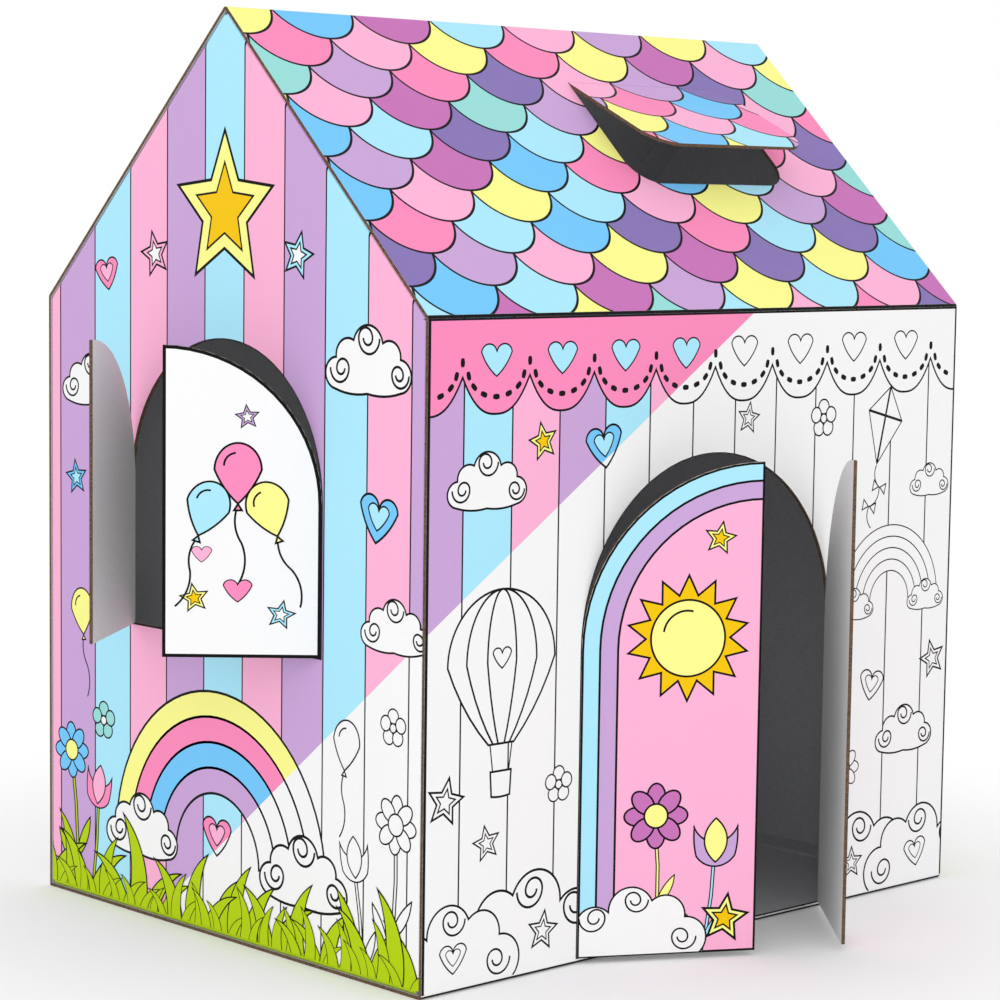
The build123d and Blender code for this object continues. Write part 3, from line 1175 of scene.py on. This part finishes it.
def skylight_sides(inward):
    """A point and the outward direction of each side of the skylight, drawn in by some width."""
    left, right = SKY_MIDDLE - SKY_HALF + inward, SKY_MIDDLE + SKY_HALF - inward
    top, foot, corner = SKY_TOP - inward, SKY_TOP - SKY_LENGTH + inward, SKY_CORNER - inward
    outline = traced(
        [
            (left, foot + corner, QUARTER),
            (left + corner, foot),
            (right - corner, foot, QUARTER),
            (right, foot + corner),
            (right, top),
            (left, top),
        ]
    )
    sides = []
    for a, b in zip(outline, outline[1:] + outline[:1]):
        along = (b - a).normalized()
        sides.append((a, Vector((along.y, -along.x))))
    return sides


flap_sheet = stamp(roof_sheet, 0, 0)
for point, outward in skylight_sides(KNIFE):
    cut(flap_sheet, point, outward, trim=True)
hole = skylight_sides(0)
for point, outward in hole:
    cut(roof_sheet, point, outward)
alone(roof_sheet)
for face in roof_sheet.data.polygons:
    face.select = all((face.center.xy - point).dot(outward) < 0 for point, outward in hole)
bpy.ops.object.mode_set(mode="EDIT")
bpy.ops.mesh.delete(type="FACE")
bpy.ops.object.mode_set(mode="OBJECT")
lay(over_ridge(roof_sheet), "front_roof_print", front_roof, "house")
lay(flap_sheet, "skylight_print", skylight, "skylight")

# %% [markdown]
# ## Door leaves
# Both leaves together are an arch, so the two printed bands round it are concentric arches that each leaf
# has half of. Bands could be drawn as bent strips, but filled half arches on three layers, each smaller
# than the last, leave no gap. The field inside is pink, with a sun, flowers and a white bush. One function
# draws both leaves, because the second is laid out as the first one's mirror image.

# %% Door prints
LEAF_LINE, LEAF_FOOT, LEAF_EDGE = 2.6, 2, 1.5
# How far in from the opening each band starts, and its ink
BANDS = ((0.5, SKY), (20.5, LILAC), (41.5, PINK))


def arched_half(side, half, spring, sill, inward):
    """Half of an arched opening, drawn in from the arch, and by the knife's gap at its edge and foot."""
    radius, foot = half - inward, sill + KNIFE
    rise = math.sqrt(radius**2 - KNIFE**2)
    bulge = math.tan(math.asin(rise / radius) / 4)
    if side > 0:
        return [(KNIFE, foot), (radius, foot), (radius, spring, bulge), (KNIFE, spring + rise)]
    return [(-radius, foot), (-KNIFE, foot), (-KNIFE, spring + rise, bulge), (-radius, spring)]


def door_leaf(side):
    """The print of one leaf: its bands, and its motifs trimmed to the leaf."""
    bands = []
    for i, (inward, ink) in enumerate(BANDS):
        leaf = arched_half(side, DOOR_HALF, DOOR_SPRING, DOOR_SILL, inward)
        bands.append(draw(leaf, ink, 1 + i, LEAF_LINE))
    shapes = stamped(
        4,
        (sun, side * 88, 372, 0.96),
        (star, side * 52, 486, 0.7, side * 10),
        (stem, side * 122, 150, 0.8, 0, {GRASS: YELLOW}),
        (stem, side * 52, 112, 0.8, side * 8, {GRASS: SKY}),
    )
    shapes += stamped(
        6,
        (daisy, side * 122, 168, 1.25, 0, {PINK: MAGENTA}),
        (tulip, side * 50, 128, 1.1, 0, {HOT_PINK: LILAC, PINK: YELLOW}),
    )
    shapes.append(stamp(bush, side * 142, 4, 0.8, layer=6, flip=side > 0))
    shapes += stamped(8, (star, side * 38, 46, 1.05, side * 8))
    for shape in shapes:
        cut(shape, (0, DOOR_SILL + LEAF_FOOT), (0, -1), trim=True)
        cut(shape, (side * (DOOR_HALF - LEAF_LINE), 0), (side, 0), trim=True)
        cut(shape, (side * LEAF_EDGE, 0), (-side, 0), trim=True)
    return joined(bands + shapes)


lay(door_leaf(-1), "left_leaf_print", left_leaf, "door_left")
lay(door_leaf(1), "right_leaf_print", right_leaf, "door_right")

# %% [markdown]
# ## Window shutters
# The shutters are white outside, with a bold black border and a bunch of balloons on each. They are halves
# of an arch, as the door's leaves are, so they take the same outline. A mirrored copy would turn the
# bunch round too, so each is laid out about its own middle instead.

# %% Shutter prints
SHUTTER_LINE, SHUTTER_MIDDLE = 3.8, 84


def shutter(side):
    """The print of one shutter, laid out about its own middle."""
    middle = side * SHUTTER_MIDDLE
    board = arched_half(side, WINDOW_HALF, WINDOW_SPRING, WINDOW_SILL, KNIFE)
    shapes = [draw(board, WHITE, 1, SHUTTER_LINE)]
    shapes += stamped(
        2,
        (balloon, middle, 560, 1.3, 0, {SKY: HOT_PINK}),
        (star, middle - 48, 420, 0.6, 10),
        (star, middle + 48, 402, 0.6, -12, SKY_STAR),
        (star, middle + 10, 622, 0.5, 6, LILAC_STAR),
        (small_heart, middle - 40, 470, 0.5, 0, {SKY: PINK}),
    )
    shapes += stamped(
        6,
        (balloon, middle - 34, 520, 1.2, -18),
        (balloon, middle + 34, 520, 1.2, 18, {SKY: YELLOW}),
    )
    return joined(shapes + stamped(10, (small_heart, middle, 430, 0.7, 0, {SKY: HOT_PINK})))


lay(shutter(-1), "back_shutter_print", back_shutter, "shutter_back")
lay(shutter(1), "front_shutter_print", front_shutter, "shutter_front")

# %% [markdown]
# ## Back wall and right gable
# The sides that face away are printed too. They carry the same line art with no colour, except for the
# grass. Every motif could be stamped in white, but it is simpler to use the same steps as before and to
# bleach the sheet from a line that lies beyond its whole width.

# %% Back wall
back_layout = stamped(
    1,
    (cloud, -330, 540, 1.2),
    (air_balloon, 40, 430, 1.2),
    (cloud, 300, 560, 1.1),
    (kite, -190, 440, 1.0, 10),
    (rainbow, -250, 100, 0.95),
    (star, 230, 400, 1.0, 10),
    (heart, 340, 330, 1.1, -8),
    (star, -360, 350, 0.9, -10),
)
back_layout += stamped(3, (cloud, -368, 104, 0.95), (cloud, -136, 104, 0.9))
back_layout += [stamp(bush, 60, 1, 1.2, layer=8), stamp(bush, 330, 1, 1.3, layer=8, flip=True)]
back_layout += flowers((daisy, 180, 150, 1.2, 0, PINK), (tulip, 256, 130, 1.1, 6, HOT_PINK))
back_art = [trimmed_to_wall(shape) for shape in back_layout]
back_coat = striped(skin("wrap_sheet", back_wall, "back_coat"), HALF_WIDTH, LILAC)
back_sheet = bleached(joined([back_coat] + valance() + back_art), (HALF_WIDTH * 2, 0), (-1, 0))
lay(back_sheet, "back_print", back_wall, "house")

# %% Right gable
right_layout = stamped(
    1,
    (big_star, 0, 850, 0.9),
    (cloud, -190, 700, 1.2),
    (cloud, 200, 640, 1.0),
    (air_balloon, 0, 560, 1.5),
    (kite, 220, 440, 1.0, -12),
    (star, -230, 480, 1.1, 12),
    (heart, -140, 380, 1.1, -8),
    (rainbow, 0, 92, 1.25),
)
right_layout += stamped(3, (cloud, -152, 106, 1.2), (cloud, 152, 106, 1.2))
right_layout += flowers((daisy, -296, 170, 1.2, 4, PINK), (daisy, 300, 180, 1.2, -4, PINK))
right_art = [trimmed_to_gable(shape) for shape in right_layout]
right_skin = skin("right_gable_panel", right_gable, "right_coat", folds=True)
right_sheet = joined([striped(right_skin, HALF_DEPTH, SKY)] + right_art)
bleached(right_sheet, (HALF_DEPTH * 2, 0), (-1, 0))
lay(with_grass(right_sheet), "right_gable_print", right_gable, "house")

# %% Put the motifs away
for motif in motifs:
    bpy.data.objects.remove(motif)
print(len(motifs), "motifs put away")

# %% [markdown]
# ## Floor
# The house stands on a pale studio floor. A curved paper backdrop would hide the horizon, but a wide plane
# that fades does it from every side. What the eye sees of it, straight or in a gloss, turns plain white
# away from the house, while near the house it keeps the soft shadow.

# %% Floor
# In metres
FLOOR_SIZE = 60
FADE_START, FADE_END, FADE_LEAST = 0.45, 1.15, 0.1


def seen_directly(tree):
    """1 for the rays that the eye follows: from the camera, off a gloss or through a clear piece, else 0."""
    path = add(tree, "ShaderNodeLightPath")
    seen = path.outputs["Is Camera Ray"]
    for kind in ("Is Glossy Ray", "Is Transmission Ray"):
        either = add(tree, "ShaderNodeMath", {0: seen, 1: path.outputs[kind]}, operation="MAXIMUM")
        seen = either.outputs["Value"]
    return seen


bpy.ops.object.select_all(action="DESELECT")
bpy.ops.mesh.primitive_plane_add(size=FLOOR_SIZE)
floor = bpy.context.object
floor.name = "floor"
floor_paint, tree = new_material("white_studio_floor")
matt = add(tree, "ShaderNodeBsdfDiffuse", {"Color": linear("#F6F6F6")})
glow = add(tree, "ShaderNodeEmission", {"Color": linear("#FFFFFF"), "Strength": 1})
place = add(tree, "ShaderNodeTexCoord").outputs["Object"]
away = add(tree, "ShaderNodeVectorMath", {0: place}, operation="LENGTH").outputs["Value"]
fade = add(
    tree,
    "ShaderNodeMapRange",
    {"Value": away, "From Min": FADE_START, "From Max": FADE_END, "To Min": FADE_LEAST, "To Max": 1},
    interpolation_type="SMOOTHSTEP",
).outputs["Result"]
white = add(tree, "ShaderNodeMath", {0: seen_directly(tree), 1: fade}, operation="MULTIPLY").outputs["Value"]
mixed = add(
    tree,
    "ShaderNodeMixShader",
    {0: white, 1: matt.outputs["BSDF"], 2: glow.outputs["Emission"]},
)
add(tree, "ShaderNodeOutputMaterial", {"Surface": mixed.outputs["Shader"]})
floor.data.materials.append(floor_paint)
print("floor", FLOOR_SIZE, "m wide")

# %% [markdown]
# ## Light
# An even white surround does most of the work, as in a light tent. Alone it would flatten the house, and a
# sun would cast hard shadows. So two broad lamps, one for each wall that shows, light both about the same
# and keep the shadows soft.

# %% Surround and lamps
WORLD_LEVEL = 0.92
LAMP_PLACES = {"left_lamp": (-4.7, -1.9, 2.2), "front_lamp": (-2.8, -4.5, 2.4)}
LAMP_SIZE, LAMP_POWER = 4.0, 22
LAMP_AIM = Vector((0, 0, 0.5))

world = bpy.data.worlds.new("studio")
bpy.context.scene.world = world
world.use_nodes = True
tree = world.node_tree
tree.nodes.clear()
around = add(tree, "ShaderNodeBackground", {"Color": linear("#FFFFFF"), "Strength": WORLD_LEVEL})
backdrop = add(tree, "ShaderNodeBackground", {"Color": linear("#FFFFFF"), "Strength": 1})
surround = add(
    tree,
    "ShaderNodeMixShader",
    {0: seen_directly(tree), 1: around.outputs["Background"], 2: backdrop.outputs["Background"]},
)
add(tree, "ShaderNodeOutputWorld", {"Surface": surround.outputs["Shader"]})

for name, place in LAMP_PLACES.items():
    light = bpy.data.lights.new(name, "AREA")
    light.size, light.energy = LAMP_SIZE, LAMP_POWER
    lamp = bpy.data.objects.new(name, light)
    bpy.context.collection.objects.link(lamp)
    lamp.location = place
    lamp.rotation_euler = (LAMP_AIM - Vector(place)).to_track_quat("-Z", "Y").to_euler()
print(len(LAMP_PLACES), "lamps of", LAMP_POWER, "W")

# %% [markdown]
# ## Camera
# The camera stands where the photograph was taken from: off the left front corner, above the eaves, looking
# slightly down with a long lens. Its place and angles could be found by trying, but here they come from
# matching the house's corners in the photograph.

# %% Camera
CAMERA_PLACE = (-2.5043, -2.6382, 0.8604)
YAW, TILT, ROLL = (math.radians(angle) for angle in (43.373, 5.832, 0.783))
LENS, SENSOR = 104.56, 36

camera = bpy.data.objects.new("camera", bpy.data.cameras.new("camera"))
bpy.context.collection.objects.link(camera)
camera.data.lens, camera.data.sensor_width = LENS, SENSOR
aim = Matrix.Rotation(-YAW, 4, "Z") @ Matrix.Rotation(math.pi / 2 - TILT, 4, "X")
camera.matrix_world = Matrix.Translation(CAMERA_PLACE) @ aim @ Matrix.Rotation(ROLL, 4, "Z")
bpy.context.scene.camera = camera
bpy.context.scene.view_settings.view_transform = "Standard"
print("camera at", CAMERA_PLACE)
